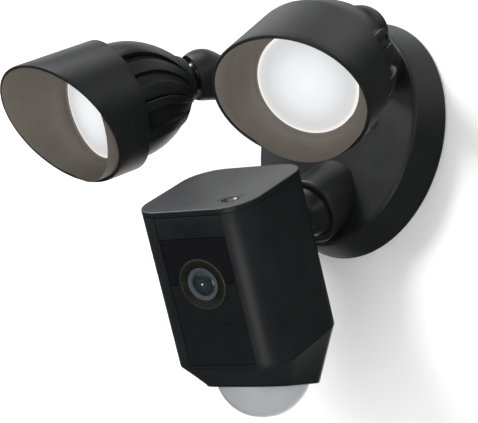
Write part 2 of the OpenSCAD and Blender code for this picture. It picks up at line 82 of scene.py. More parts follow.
BALL_MATRIX = move(*CAM_BALL) @ turn("Z", CAM_TURN) @ turn("X", CAM_PITCH)
CAMERA = BALL_MATRIX @ move(0, -D / 2 - NECK, DROP)
LENS = CAMERA @ move(0, -D / 2, LENS_Z) @ turn("X", 90)
SOCKET = move(*CAM_BALL) @ ON_WALL @ turn("X", SOCKET_TILT)
NECK_AXIS = BALL_MATRIX @ turn("X", 90)
SKIRT = CAMERA @ move(0, SKIRT_SHIFT, -H - SKIRT_DROP) @ turn("X", -SKIRT_TILT)


# ---------- materials ----------
def shader(name):
    m = bpy.data.materials.new(name)
    m.use_nodes = True
    t = m.node_tree
    b = next(n for n in t.nodes if n.type == "BSDF_PRINCIPLED")
    return m, t, b


def node(t, kind, **values):
    n = t.nodes.new(kind)
    for k, v in values.items():
        if k in n.inputs:
            n.inputs[k].default_value = v
        else:
            setattr(n, k, v)
    return n


def ramp(t, fac, stops):
    r = node(t, "ShaderNodeValToRGB")
    e = r.color_ramp.elements
    while len(e) < len(stops):
        e.new(0.5)
    for i, (pos, c) in enumerate(stops):
        e[i].position = pos
        e[i].color = (c, c, c, 1) if isinstance(c, (int, float)) else (*c, 1)
    t.links.new(fac, r.inputs["Fac"])
    return r


def coated(name, dark, light, rough, grain=2600, bump=0.08, metallic=0.0, depth=0.00004,
           specular=0.5, smudge=60):
    """A moulded or powder-coated skin: a fine grain, a slow change of tone and worn-in patches of gloss."""
    m, t, b = shader(name)
    place = node(t, "ShaderNodeTexCoord")
    fine = node(t, "ShaderNodeTexNoise", Scale=grain, Detail=3.0, Roughness=0.6)
    slow = node(t, "ShaderNodeTexNoise", Scale=smudge, Detail=4.0, Roughness=0.55)
    t.links.new(place.outputs["Object"], fine.inputs["Vector"])
    t.links.new(place.outputs["Object"], slow.inputs["Vector"])
    tone = ramp(t, slow.outputs["Fac"], [(0.3, dark), (0.7, light)])
    t.links.new(tone.outputs["Color"], b.inputs["Base Color"])
    gloss = ramp(t, slow.outputs["Fac"], [(0.25, rough[0]), (0.75, rough[1])])
    t.links.new(gloss.outputs["Color"], b.inputs["Roughness"])
    bumped = node(t, "ShaderNodeBump", Strength=bump, Distance=depth)
    t.links.new(fine.outputs["Fac"], bumped.inputs["Height"])
    t.links.new(bumped.outputs["Normal"], b.inputs["Normal"])
    b.inputs["Metallic"].default_value = metallic
    b.inputs["Specular IOR Level"].default_value = specular
    return m


POWDER = coated("powder_coat", (0.0092, 0.0095, 0.0102), (0.0128, 0.0132, 0.0140), (0.38, 0.45),
                grain=3200, bump=0.22, depth=0.00005, specular=0.3)
FINS = coated("finned_casting", (0.0092, 0.0095, 0.0102), (0.0128, 0.0132, 0.0140), (0.36, 0.43),
              grain=3200, bump=0.2, depth=0.00005, specular=0.2)
# a lighter black than the powder coat: painted fill light that lifts the shade round the arms and joints
CASTING = coated("black_casting", (0.0115, 0.0118, 0.0125), (0.0155, 0.0158, 0.0165), (0.38, 0.46),
                 grain=2400, bump=0.22, depth=0.00006, specular=0.24)
INSIDE = coated("hood_inside", (0.142, 0.123, 0.102), (0.168, 0.147, 0.122), (0.5, 0.6),
                grain=2600, bump=0.2, depth=0.00005)
SHELL = coated("camera_shell", (0.009, 0.0094, 0.0102), (0.0125, 0.013, 0.014), (0.34, 0.4),
               grain=3600, bump=0.16, depth=0.00004, specular=0.2)
# the cap's black is lighter than the shell's: a painted sheen of the light from above
CAP_PAINTED_SHEEN = coated("top_cap", (0.022, 0.0225, 0.024), (0.028, 0.0288, 0.031), (0.4, 0.46),
             grain=3600, bump=0.14, depth=0.00004, specular=0.7)
GLOSS = coated("gloss_window", (0.006, 0.006, 0.0068), (0.0078, 0.0078, 0.0086), (0.12, 0.16), bump=0.01,
               specular=0.14)
PLATE = coated("front_plate", (0.0085, 0.0088, 0.0096), (0.0105, 0.0109, 0.0118), (0.26, 0.32), bump=0.05,
               specular=0.14)
# darker than the top cap round it: painted shade for the button's recessed dish
DISH = coated("button_dish", (0.006, 0.006, 0.0066), (0.008, 0.008, 0.0088), (0.3, 0.36), bump=0.05,
              specular=0.4)
# lighter than the powder coat as well: painted fill light for the shaded joint between base and camera
NYLON = coated("joint_nylon", (0.0125, 0.0128, 0.0135), (0.0165, 0.0168, 0.0175), (0.34, 0.42), grain=2600,
               bump=0.12, specular=0.3)
STEEL = coated("zinc_steel", (0.46, 0.46, 0.46), (0.58, 0.58, 0.57), (0.25, 0.42), grain=900, bump=0.05,
               metallic=1.0, smudge=160)
BLACK_STEEL = coated("black_steel", (0.02, 0.02, 0.021), (0.03, 0.03, 0.032), (0.24, 0.34), grain=1800,
                     bump=0.04, metallic=0.6)
RUBBER = coated("rubber", (0.012, 0.012, 0.012), (0.02, 0.02, 0.02), (0.7, 0.85), grain=1800, bump=0.3)
ACETAL = coated("acetal", (0.008, 0.008, 0.009), (0.013, 0.013, 0.014), (0.35, 0.45), bump=0.04)
WHITE = coated("white_plastic", (0.72, 0.72, 0.69), (0.8, 0.8, 0.78), (0.35, 0.48), bump=0.05)
ALU = coated("bare_aluminium", (0.4, 0.41, 0.42), (0.52, 0.53, 0.54), (0.28, 0.4), grain=1200, bump=0.06,
             metallic=1.0)
GREEN = coated("earth_screw", (0.05, 0.25, 0.08), (0.08, 0.32, 0.11), (0.3, 0.42), bump=0.05, metallic=0.5)
CAPACITOR = coated("capacitor_sleeve", (0.03, 0.04, 0.16), (0.04, 0.06, 0.2), (0.25, 0.35), bump=0.03)


def striped(name, a, b_, scale, direction, rough, metallic=0.0, bump=0.4):
    """Fine parallel lines, for windings and copper tracks."""
    m, t, b = shader(name)
    place = node(t, "ShaderNodeTexCoord")
    wave = node(t, "ShaderNodeTexWave", Scale=scale, Distortion=0.6, Detail=1.0)
    wave.bands_direction = direction
    t.links.new(place.outputs["Object"], wave.inputs["Vector"])
    tone = ramp(t, wave.outputs["Fac"], [(0.35, a), (0.65, b_)])
    t.links.new(tone.outputs["Color"], b.inputs["Base Color"])
    bumped = node(t, "ShaderNodeBump", Strength=bump, Distance=0.0001)
    t.links.new(wave.outputs["Fac"], bumped.inputs["Height"])
    t.links.new(bumped.outputs["Normal"], b.inputs["Normal"])
    b.inputs["Roughness"].default_value = rough
    b.inputs["Metallic"].default_value = metallic
    return m


WINDING = striped("tape_and_winding", (0.62, 0.42, 0.06), (0.78, 0.56, 0.1), 260, "Z", 0.4)
BOARD = striped("circuit_board", (0.012, 0.09, 0.04), (0.02, 0.13, 0.06), 110, "DIAGONAL", 0.35, bump=0.1)
LED_BOARD = striped("led_board", (0.7, 0.7, 0.7), (0.8, 0.8, 0.8), 90, "DIAGONAL", 0.3, bump=0.05)


def radial(t, scale):
    """Distance from the piece's own Z axis, 1 at 1/scale metres."""
    place = node(t, "ShaderNodeTexCoord")
    flat = node(t, "ShaderNodeVectorMath", operation="MULTIPLY")
    flat.inputs[1].default_value = (scale, scale, 0)
    size = node(t, "ShaderNodeVectorMath", operation="LENGTH")
    t.links.new(place.outputs["Object"], flat.inputs[0])
    t.links.new(flat.outputs["Vector"], size.inputs[0])
    return size.outputs["Value"]


def opal():
    """The lit diffuser: brightest in the middle, a little greyer outwards, with a thin bright rim."""
    m, t, b = shader("opal_diffuser")
    far = radial(t, 1000 / DIFFUSER_R)
    glow = ramp(t, far, [(0.0, (0.94, 0.95, 0.97)), (0.45, (0.86, 0.87, 0.88)), (0.8, (0.68, 0.69, 0.7)),
                         (0.92, (0.7, 0.7, 0.69)), (0.985, (1.0, 0.98, 0.95))])
    t.links.new(glow.outputs["Color"], b.inputs["Emission Color"])
    b.inputs["Emission Strength"].default_value = 0.95
    b.inputs["Base Color"].default_value = (0.04, 0.04, 0.04, 1)
    b.inputs["Roughness"].default_value = 0.45
    return m


def lens_rings_and_painted_highlight():
    """Rings of lens coating round a small painted highlight, a bright dot that stands in for a reflection of the
    lights, from the middle outwards.
    """
    m, t, b = shader("lens_rings_and_painted_highlight")
    far = radial(t, 1000 / 6.4)
    # the first two stops are the painted highlight in the middle
    rings = ramp(t, far, [(0.0, (0.9, 0.92, 0.93)), (0.06, (0.6, 0.62, 0.63)), (0.1, (0.03, 0.046, 0.05)),
                          (0.2, (0.01, 0.016, 0.018)),
                          (0.34, (0.026, 0.04, 0.043)), (0.48, (0.009, 0.016, 0.017)),
                          (0.62, (0.018, 0.028, 0.03)), (0.8, (0.007, 0.012, 0.013)),
                          (0.95, (0.02, 0.029, 0.032))])
    t.links.new(rings.outputs["Color"], b.inputs["Base Color"])
    b.inputs["Roughness"].default_value = 0.04
    b.inputs["Specular IOR Level"].default_value = 0.35
    return m


def ring_coating():
    """The dark outer ring round the lens, olive at its edge."""
    m, t, b = shader("lens_surround")
    far = radial(t, 1000 / 13.4)
    rings = ramp(t, far, [(0.66, (0.007, 0.0085, 0.009)), (0.78, (0.008, 0.01, 0.007)),
                          (0.93, (0.012, 0.013, 0.008)), (0.985, (0.04, 0.041, 0.035))])
    t.links.new(rings.outputs["Color"], b.inputs["Base Color"])
    b.inputs["Roughness"].default_value = 0.12
    b.inputs["Specular IOR Level"].default_value = 0.2
    return m


def dome_plastic():
    """Smooth milky plastic, a little cloudy."""
    m, t, b = shader("milky_dome")
    place = node(t, "ShaderNodeTexCoord")
    cloud = node(t, "ShaderNodeTexNoise", Scale=90.0, Detail=3.0)
    t.links.new(place.outputs["Object"], cloud.inputs["Vector"])
    bumped = node(t, "ShaderNodeBump", Strength=0.05, Distance=0.0001)
    t.links.new(cloud.outputs["Fac"], bumped.inputs["Height"])
    t.links.new(bumped.outputs["Normal"], b.inputs["Normal"])
    tone = ramp(t, cloud.outputs["Fac"], [(0.3, (0.4, 0.412, 0.432)), (0.7, (0.44, 0.452, 0.47))])
    t.links.new(tone.outputs["Color"], b.inputs["Base Color"])
    gloss = ramp(t, cloud.outputs["Fac"], [(0.3, 0.34), (0.7, 0.4)])
    t.links.new(gloss.outputs["Color"], b.inputs["Roughness"])
    b.inputs["Subsurface Weight"].default_value = 0.35
    b.inputs["Subsurface Radius"].default_value = (0.004, 0.004, 0.004)
    b.inputs["Transmission Weight"].default_value = 0.12
    return m


def lit_chip():
    """A yellow phosphor chip, paler in random spots."""
    m, t, b = shader("led_chip")
    place = node(t, "ShaderNodeTexCoord")
    spots = node(t, "ShaderNodeTexNoise", Scale=500.0)
    t.links.new(place.outputs["Object"], spots.inputs["Vector"])
    tone = ramp(t, spots.outputs["Fac"], [(0.3, (0.8, 0.6, 0.12)), (0.7, (0.9, 0.75, 0.3))])
    t.links.new(tone.outputs["Color"], b.inputs["Base Color"])
    b.inputs["Roughness"].default_value = 0.3
    return m


OPAL, GLASS, SURROUND, DOME, CHIP = opal(), lens_rings_and_painted_highlight(), ring_coating(), dome_plastic(), lit_chip()


# ---------- meshes ----------
def raw(name, verts, faces, matrix):
    """An object from points in millimetres, with its faces turned outwards."""
    me = bpy.data.meshes.new(name)
    me.from_pydata([tuple(c * 0.001 for c in v) for v in verts], [], faces)
    me.validate()
    bm = bmesh.new()
    bm.from_mesh(me)
    bmesh.ops.recalc_face_normals(bm, faces=bm.faces)
    bm.to_mesh(me)
    bm.free()
    ob = bpy.data.objects.new(name, me)
    bpy.context.scene.collection.objects.link(ob)
    m = matrix.copy()
    m.translation *= 0.001
    ob.matrix_world = m
    return ob


def cut(ob, *cutters, operation="DIFFERENCE"):
    """Cuts other closed shapes out of an object, and removes them."""
    for cutter in cutters:
        mod = ob.modifiers.new("cut", "BOOLEAN")
        mod.object, mod.operation, mod.solver = cutter, operation, "EXACT"
        bpy.context.view_layer.update()
        made = bpy.data.meshes.new_from_object(ob.evaluated_get(bpy.context.evaluated_depsgraph_get()))
        made.name = ob.name
        ob.modifiers.clear()
        ob.data = made
        bpy.data.objects.remove(cutter)
    return ob


def piece(ob, material, body, replaces=(), sharp=38):
    """Gives an object its material and body, and hides the parts it replaces."""
    me = ob.data
    me.materials.clear()
    for x in material if isinstance(material, (list, tuple)) else [material]:
        me.materials.append(x)
    me.polygons.foreach_set("use_smooth", [True] * len(me.polygons))
    me.set_sharp_from_angle(angle=math.radians(sharp))
    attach(ob, body)
    if replaces:
        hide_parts(*replaces)
    return ob


def grid(rings, closed=True, caps=(False, False)):
    """Faces through rings of points with the same count; closed joins the last ring to the first."""
    n = len(rings[0])
    verts = [p for r in rings for p in r]
    faces = []
    last = len(rings) if closed else len(rings) - 1
    for i in range(last):
        k = (i + 1) % len(rings)
        for j in range(n):
            l = (j + 1) % n
            faces.append((i * n + j, i * n + l, k * n + l, k * n + j))
    if caps[0]:
        faces.append(tuple(reversed(range(n))))
    if caps[1]:
        faces.append(tuple((len(rings) - 1) * n + j for j in range(n)))
    return verts, faces


def rounded_path(points, closed=True, steps=5):
    """Rounds the corners of a path of (r, z) or (r, z, radius) points."""
    out = []
    n = len(points)
    for i, p in enumerate(points):
        radius = p[2] if len(p) > 2 else 0
        here = Vector(p[:2])
        if not radius or (not closed and i in (0, n - 1)):
            out.append(tuple(here))
            continue
        a, b = Vector(points[i - 1][:2]) - here, Vector(points[(i + 1) % n][:2]) - here
        reach = min(radius, a.length * 0.49, b.length * 0.49)
        start, end = here + a.normalized() * reach, here + b.normalized() * reach
        for s in range(steps + 1):
            f = s / steps
            q = start.lerp(here, f).lerp(here.lerp(end, f), f)
            out.append(tuple(q))
    return out


def turned(name, path, matrix, count=144, closed=True, steps=5):
    """Turns a rounded (r, z) path round Z. An open path starts and ends on the axis."""
    path = rounded_path(path, closed, steps)
    rings = []
    for r, z in path:
        rings.append([(r * math.cos(2 * math.pi * j / count), r * math.sin(2 * math.pi * j / count), z)
                      for j in range(count)])
    if closed:
        verts, faces = grid(rings)
    else:
        first, end = path[0], path[-1]
        verts, faces = grid(rings[1:-1], closed=False)
        n = len(verts)
        verts += [(0, 0, first[1]), (0, 0, end[1])]
        rows = len(rings) - 2
        for j in range(count):
            k = (j + 1) % count
            faces.append((n, k, j))
            faces.append((n + 1, (rows - 1) * count + j, (rows - 1) * count + k))
    return raw(name, verts, faces, matrix)


def lathe(name, path, matrix, material, body, replaces=(), count=144, closed=True, sharp=38, steps=5):
    return piece(turned(name, path, matrix, count, closed, steps), material, body, replaces, sharp)


def lofted(name, rings, matrix):
    verts, faces = grid(rings, closed=False, caps=(True, True))
    return raw(name, verts, faces, matrix)


def box_ring(w, d, r, z, count=14, shift=0.0):
    """A rounded rectangle as a ring of points, anticlockwise."""
    pts = []
    for sx, sy, start in ((1, 1, 0), (-1, 1, 90), (-1, -1, 180), (1, -1, 270)):
        for i in range(count + 1):
            a = math.radians(start + 90 * i / count)
            pts.append((sx * (w / 2 - r) + r * math.cos(a), sy * (d / 2 - r) + r * math.sin(a) + shift, z))
    return pts


# ---------- the base ----------
WALL = ON_WALL
lathe("base_cover",
      [(64.5, 0.05), (67.5, 0.05, 0.5), (66.9, 2.2, 0.8), (63.2, 17.2, 0.5), (62.9, 18.0, 0.6), (61.9, 18.95, 0.7),
       (61.2, 18.95, 0.2), (60.9, 18.75, 0.2), (60.6, 18.95, 0.2),
       (0.001, 18.95), (0.001, 16.4), (60, 16.4, 1.0)],
      WALL, POWDER, "base", ["base_housing"], count=200)


# ---------- the lamps ----------
def bell(f):
    return COLLAR_R + (HOOD_R - COLLAR_R) * (1 - (1 - f) ** 2.2)


def rib_section():
    """Angles round the heat sink and how deep the groove is there: 1 is the groove's floor."""
    out = []
    for k, (start, width) in enumerate(GROOVES):
        edge = min(1.1, 0.33 * width)
        rise = [(-0.55, 0.0), (-0.15, 0.012), (0.12, 0.09), (0.3, 0.35), (0.42, 0.8), (0.62, 0.97), (edge, 1.0)]
        if width < 3:
            rise = [(-0.3, 0.0), (0.0, 0.04), (0.15, 0.5), (0.35, 0.95)]
        floor = max(1, round((width - 2 * edge) / 3))
        out += [(start + a, g) for a, g in rise]
        if width >= 3:
            out += [(start + edge + (width - 2 * edge) * i / floor, 1.0) for i in range(1, floor)]
        out += [(start + width - a, g) for a, g in reversed(rise)]
        end = start + width + 0.55
        following = GROOVES[(k + 1) % len(GROOVES)][0] - 0.55
        if following < end:
            following += 360
        land = max(1, round((following - end) / 2.5))
        out += [(end + (following - end) * i / land, 0.0) for i in range(1, land)]
    return out


SECTION = rib_section()


def heat_sink(side, matrix, body):
    back = [(LIP_R - 0.7, LIP_Z), (LIP_R - 0.2, LIP_Z + 0.25), (LIP_R + 0.35, LIP_Z + 1.0), (LIP_R + 0.75, LIP_Z + 2.0),
            (COLLAR_R - 0.1, COLLAR_Z - 0.6)]
    rings = []

    def ring(radius_of, z, sweep):
        pts = []
        for a, g in SECTION:
            t = math.radians(a - 34 * sweep)
            r = radius_of(g)
            pts.append((r * math.cos(t), r * math.sin(t), z))
        rings.append(pts)

    for r, z in back:
        ring(lambda g, r=r: r, z, 1)
    steps = 46
    for i in range(steps + 1):
        f = (i / steps) ** 1.2
        deep = GROOVE * max(0.0, (f - 0.03) / 0.97) ** 0.92
        ring(lambda g, r0=bell(f), deep=deep: r0 - deep * g, COLLAR_Z + f * (HOOD_BACK - COLLAR_Z - 0.8),
             (1 - f) ** 3)
    ring(lambda g: HOOD_R - 0.3 * g, HOOD_BACK - 0.79, 0)
    ring(lambda g: HOOD_R - 0.06 * g, HOOD_BACK - 0.55, 0)
    ring(lambda g: HOOD_R, HOOD_BACK - 0.02, 0)
    ring(lambda g: 36.0, HOOD_BACK - 0.01, 0)
    ring(lambda g: 36.0, HOOD_BACK + 5.95, 0)
    ring(lambda g: 24.1, HOOD_BACK + 5.95, 0)
    ring(lambda g: 24.1, HOOD_BACK, 0)
    for f in (0.9, 0.8, 0.65, 0.5, 0.4, 0.32, 0.26):
        r = bell(f) - GROOVE * f - 2.4
        ring(lambda g, r=r: r, COLLAR_Z + f * (HOOD_BACK - COLLAR_Z), (1 - f) ** 3)
    ring(lambda g: 12, 20, 0.6)
    ring(lambda g: 3.86, 20, 0.65)
    for k, a in enumerate((13.5, 22, 32, 42, 50.9)):
        q = math.radians(a)
        ring(lambda g, q=q: 16.42 * math.sin(q), 16.42 * math.cos(q), 0.7 + 0.06 * k)
    piece(raw(side + "_finned_housing", *grid(rings), matrix), FINS, body,
          [side + "_heat_sink"], sharp=46)


def hood(side, matrix, body):
    count = 180
    mid, swing = (HOOD_LONG + HOOD_SHORT) / 2, (HOOD_LONG - HOOD_SHORT) / 2
    rings = []

    def ring(r, z, edge):
        pts = []
        for j in range(count):
            t = 2 * math.pi * j / count
            front = HOOD_BACK + mid + swing * math.sin(t)
            pts.append((r * math.cos(t), r * math.sin(t), front + z if edge else z))
        rings.append(pts)

    back = HOOD_BACK + 0.02
    inner = HOOD_R - HOOD_WALL
    outside = [(HOOD_R, back, 0), (HOOD_R, back + 3, 0), (HOOD_R, -6, 1), (HOOD_R, -0.9, 1), (HOOD_R - 0.12, -0.35, 1),
               (HOOD_R - 0.5, -0.04, 1), (HOOD_R - 1.0, -0.04, 1)]
    inside = [(inner + 0.45, -0.06, 1), (inner + 0.1, -0.3, 1), (inner, -0.8, 1), (inner, -5, 1),
              (inner + 0.02, back + 14.2, 0), (inner + 0.02, back, 0)]
    for r, z, e in outside + inside:
        ring(r, z, e)
    ob = piece(raw(side + "_hood_shell", *grid(rings), matrix), [POWDER, INSIDE], body,
               [side + "_hood"])
    for p in ob.data.polygons:
        row = p.index // count
        if len(outside) + 1 <= row <= len(outside) + len(inside) - 2:
            p.material_index = 1
    return ob


for side in ("left", "right"):
    m, body = lamp_matrix(side), side + "_lamp"
    heat_sink(side, m, body)
    hood(side, m, body)
    z = HOOD_BACK + 7.6
    outer = HOOD_R - HOOD_WALL - 0.1
    bowl = [(DIFFUSER_R + 0.2, z + 1.25), (outer, z + 1.25), (outer + 0.08, z + 18.4), (outer + 0.1, z + 18.6)]
    for a in range(0, 91, 6):
        s, c = math.sin(math.radians(a)), math.cos(math.radians(a))
        bowl.append((outer + 0.09 - 9.09 * (1 - c), z + 5.6 + 13 * (1 - s)))
    bowl += [(DIFFUSER_R + 0.25, z + 5.55, 0.1), (DIFFUSER_R + 0.2, z + 4.9)]
    lathe(side + "_reflector_bowl", bowl, m, INSIDE, body, [side + "_reflector"], count=180)
    lens = [(0.001, z + 5.95)]
    lens += [(DIFFUSER_R * f, z + 5.95 - 1.5 * f * f) for f in (0.15, 0.3, 0.45, 0.6, 0.75, 0.9, 0.97)]
    lens += [(DIFFUSER_R - 0.05, z + 4.3, 0.3), (DIFFUSER_R - 0.05, z + 1.3), (0.001, z + 1.3)]
    lathe(side + "_opal_diffuser", list(reversed(lens)), m, OPAL, body, [side + "_diffuser"], closed=False)


# ---------- the camera's joint ----------
socket = [(10, -6), (18.8, -22), (18.8, 2.9, 0.5), (18.5, 4.0, 0.5), (17.6, 4.75, 0.5), (16.3, 4.75, 0.45)]
for z in (4.2, 2.5, 0.5):
    socket.append((math.sqrt(15.42 ** 2 - z * z), z))
socket += [(16.92, 0), (15.9, -6), (13.5, -10.4)]


def block(name, lo, hi):
    """A plain block used only to cut with."""
    ring = [(lo[0], lo[1]), (hi[0], lo[1]), (hi[0], hi[1]), (lo[0], hi[1])]
    return lofted(name, [[(x, y, z) for x, y in ring] for z in (lo[2], hi[2])], Matrix())


collar = turned("camera_socket_collar", socket, SOCKET, 128)
cut(collar, block("behind", (-60, -9, -120), (60, 60, 120)))
piece(collar, NYLON, "base", ["camera_socket"], sharp=34)
neck = [(3, -14.95)] + [(15.27 * math.sin(a), 15.27 * math.cos(a)) for a in
                        [math.radians(q) for q in range(168, 38, -6)]]
neck += [(9.3, 12.2), (8.35, 13.6), (8, 15.6), (8, 27.6, 0.4), (8.0, 57.5, 0.5), (3, 57.5)]
lathe("camera_neck", neck, NECK_AXIS, NYLON, "camera_stem", ["camera_ball"], count=120, sharp=50)

# ---------- the arms ----------
for side, sign in (("left", -1), ("right", 1)):
    ball = Vector((sign * LAMP_BALL[0], LAMP_BALL[1], LAMP_BALL[2]))
    foot = Vector((sign * 39, -19, 30))
    axis = ball - foot
    reach = axis.length
    along = Matrix.Translation(foot) @ axis.to_track_quat("Z", "Y").to_matrix().to_4x4()
    slope = math.radians(15)
    start = 2 + 14.9 * math.sin(slope)
    blend = (14.9 * math.cos(slope) - 11.2) / math.tan(slope)
    path = [(0.001, -14), (11.2, -14), (11.2, reach - start - blend - 2.6), (11.23, reach - start - blend - 1.6),
            (11.33, reach - start - blend - 0.5), (11.5, reach - start - blend + 0.9)]
    for q in range(105, 0, -5):
        a = math.radians(q)
        path.append((14.88 * math.sin(a), reach - 2 + 14.88 * math.cos(a)))
    path.append((0.001, reach + 12.88))
    arm = turned(side + "_arm_casting", path, along, 96, closed=False)
    cup = move(*ball) @ ON_WALL @ turn("Y", sign * 17.4) @ turn("X", 27)
    mouth = [(0.001, -8.9)] + [(8.92 * math.sin(math.radians(q)), 8.92 * math.cos(math.radians(q)))
                               for q in range(172, 66, -8)]
    mouth += [(8.92 * math.sin(math.radians(68)), 8.92 * math.cos(math.radians(68))), (13.2, 5.35, 0.7), (15.5, 5.4),
              (60, 22), (0.001, 40)]
    cut(arm, turned("mouth", mouth, cup, 96, closed=False), block("in_base", (-90, -18.97, -60), (90, 60, 120)))
    piece(arm, CASTING, "base", [side + "_arm"], sharp=34)
    lathe(side + "_joint_ball", [(1.8, -8.6)] + [(8.78 * math.sin(math.radians(q)), 8.78 * math.cos(math.radians(q)))
                                                 for q in range(164, 28, -8)]
          + [(3.9, 8.2), (3.8, 9.0), (3.8, 27.9, 0.3), (1.8, 27.9)],
          lamp_matrix(side), BLACK_STEEL, side + "_stem", [side + "_ball"], count=72, sharp=50)

# ---------- behind the cover: bosses for the studs and the driver board ----------
for k, (x, z) in enumerate([(-26, 8), (26, 8)]):
    lathe("stud_boss_%d" % k, [(2.3, 6), (5, 6, 0.4), (5, 14.6), (6.4, 16.4), (2.3, 16.4)], WALL @ move(x, z, 0),
          POWDER, "base", count=48)
for k, (x, z) in enumerate([(-20, 21), (20, 21), (-20, 43), (20, 43)]):
    lathe("board_boss_%d" % k, [(0.9, 10.1), (2.4, 10.1, 0.3), (2.4, 15.2), (3.4, 16.4), (0.9, 16.4)],
          WALL @ move(x, z, 0), POWDER, "base", count=36)


# ---------- the camera's body ----------
def shell_ring(inset, z, notch):
    """The housing's outline at a height; notch cuts the recess for the front plates."""
    w, d, r = W - 2 * inset, D - 2 * inset, CORNER - inset
    pts = []
    n = 16
    for sx, sy, start in ((1, 1, 0), (-1, 1, 90), (-1, -1, 180), (1, -1, 270)):
        for i in range(n + 1):
            a = math.radians(start + 90 * i / n)
            pts.append((sx * (w / 2 - r) + r * math.cos(a), sy * (d / 2 - r) + r * math.sin(a), z))
        if (sx, sy) == (-1, -1):
            half, deep = PLATE_W / 2 + 0.3, PLATE_T + 0.25 if notch else 0.0
            y = edge = -d / 2
            over = half - (w / 2 - r)
            if over > 0:
                edge = -(d / 2 - r) - math.sqrt(max(r * r - over * over, 0))
            # take away the part of the corner that the plates cover
            while pts and pts[-1][0] > -half - 0.001 and pts[-1][1] < 0:
                pts.pop()
            back = y + deep if notch else edge
            pts += [(-half, edge, z), (-half, back, z), (-half / 2, y + deep, z),
                    (half / 2, y + deep, z), (half, back, z), (half, edge, z)]
    # leave out the points at the start of the last corner that the plates cover
    k = next(i for i, p in enumerate(pts) if abs(p[0] + half) < 1e-9)
    head, rest = pts[:k + 6], pts[k + 6:]
    rest = [p for p in rest if p[0] > half + 0.001]
    return head + rest


def shell():
    rings = [shell_ring(0.3, -3.05, True), shell_ring(0.08, -3.12, True), shell_ring(0.0, -3.4, True),
             shell_ring(0.0, -40, True), shell_ring(0.0, PLATE_END - 0.28, True),
             shell_ring(0.0, PLATE_END - 0.3, False), shell_ring(0.0, -H + 0.4, False),
             shell_ring(0.1, -H + 0.06, False), shell_ring(0.3, -H, False)]
    ob = lofted("camera_housing", rings, CAMERA)
    room = [box_ring(W - 2 * 2.2, D - 2 * 4.6, CORNER - 2.2, z) for z in (-3.0 + 1, -H - 1)]
    back = [box_ring(CW, 9, 0.6, z, 3, D / 2) for CW, z in ((46.2, -H / 2 - 35.1), (46.2, -H / 2 + 35.1))]
    way = [box_ring(34, 20, 0.6, z, 3, D / 2) for z in (-H / 2 - 30, -H / 2 + 30)]
    cut(ob, lofted("room", room, CAMERA), lofted("back", back, CAMERA), lofted("way", way, CAMERA))
    return piece(ob, SHELL, "camera", ["camera_shell"], sharp=30)


shell()

# the top: a flat cap with a thin rounded edge, and a well for the button; its top face is painted a lighter black, a
# painted sheen of the light from above
cap = lofted("camera_top_cap", [box_ring(W - 2 * i, D - 2 * i, CORNER - i, z)
                                for i, z in ((0.3, -3.0), (0.06, -2.9), (0.0, -2.6), (0.0, -0.65), (0.05, -0.4),
                                             (0.2, -0.16), (0.45, -0.04), (0.8, 0.0))], CAMERA)
well = CAMERA @ move(BUTTON[0], BUTTON[1], 0)
cut(cap, turned("well", [(0.001, -4), (4.75, -4), (4.75, -0.5, 0.1), (4.95, -0.12, 0.15), (5.1, 0.4),
                         (0.001, 0.4)], well, 72, closed=False))
for start, sweep in ((145, 50), (18, 62)):
    arc = []
    for i in range(17):
        a = math.radians(start + i * sweep / 16)
        c, q = math.cos(a), math.sin(a)
        arc.append([(r * c, r * q, z) for r, z in ((6.7, 0.2), (6.8, -0.22), (7.2, -0.22), (7.3, 0.2))])
    cut(cap, lofted("groove", arc, well))
piece(cap, [CAP_PAINTED_SHEEN, SHELL], "camera", ["top_cap"], sharp=32)
# the side faces take the shell's black, so only the top face carries the painted sheen
for p in cap.data.polygons:
    if abs(p.normal.z) < 0.3 and max(abs(p.center.x), abs(p.center.y)) > 0.02:
        p.material_index = 1
# the button's darker paint is painted shade in its well
lathe("pressed_button",
      [(0.001, -4.6), (5.3, -4.6, 0.2), (5.3, -3.45, 0.2), (4.4, -3.4), (4.6, -3.4), (4.6, -0.5, 0.12),
       (4.3, -0.45, 0.2), (3.2, -1.2, 1.2), (1.5, -1.75, 1.5), (0.001, -1.85)],
      well, DISH, "setup_button_cap", ["setup_button"], closed=False, count=96)


def front_y(x, inset=0.0):
    """The front of the housing's outline at x."""
    over = abs(x) - (W / 2 - CORNER)
    if over <= 0:
        return -D / 2 + inset
    return -D / 2 + CORNER - math.sqrt(CORNER ** 2 - over ** 2) + inset


def plate(name, top, bottom, material, node_name, soft=0.22, holes=()):
    half = PLATE_W / 2
    xs = [half * k for k in (-1, -0.99, -0.965, -0.94, -0.915, -0.893, -0.874, -0.86, -0.6, -0.3,
                               0, 0.3, 0.6, 0.86, 0.874, 0.893, 0.915, 0.94, 0.965, 0.99, 1)]
    rings = []
    for x in xs:
        e = soft * max(0.0, 1 - (half - abs(x)) / soft) * 0.8
        y, back = front_y(x), -D / 2 + PLATE_T
        rings.append([(x, back, top - e), (x, y + soft + e, top - e), (x, y + 0.3 * soft + e, top - 0.3 * soft - e),
                      (x, y + e, top - soft - e), (x, y + e, bottom + soft + e),
                      (x, y + 0.3 * soft + e, bottom + 0.3 * soft + e), (x, y + soft + e, bottom + e),
                      (x, back, bottom + e)])
    ob = lofted(name, rings, CAMERA)
    cut(ob, *holes)
    return piece(ob, material, "camera", [node_name], sharp=30)


def lens_hole():
    return turned("hole", [(0.001, -6), (13.5, -6), (13.5, -0.25), (13.8, 3), (0.001, 3)], LENS, 120, closed=False)


plate("upper_band", -3.3, BAND_Z, SHELL, "upper_fascia")
sensor_at = CAMERA @ move(15, -D / 2, -30.6) @ turn("X", 90)
plate("infrared_window", BAND_Z - 0.3, LENS_Z + 0.16, GLOSS, "ir_window", 0.16,
      [lens_hole(), turned("dot", [(0.001, -6), (0.9, -6), (0.9, 3), (0.001, 3)], sensor_at, 32, closed=False)])
plate("front_panel", LENS_Z - 0.16, PLATE_END, PLATE, "lower_fascia", 0.2, [lens_hole()])

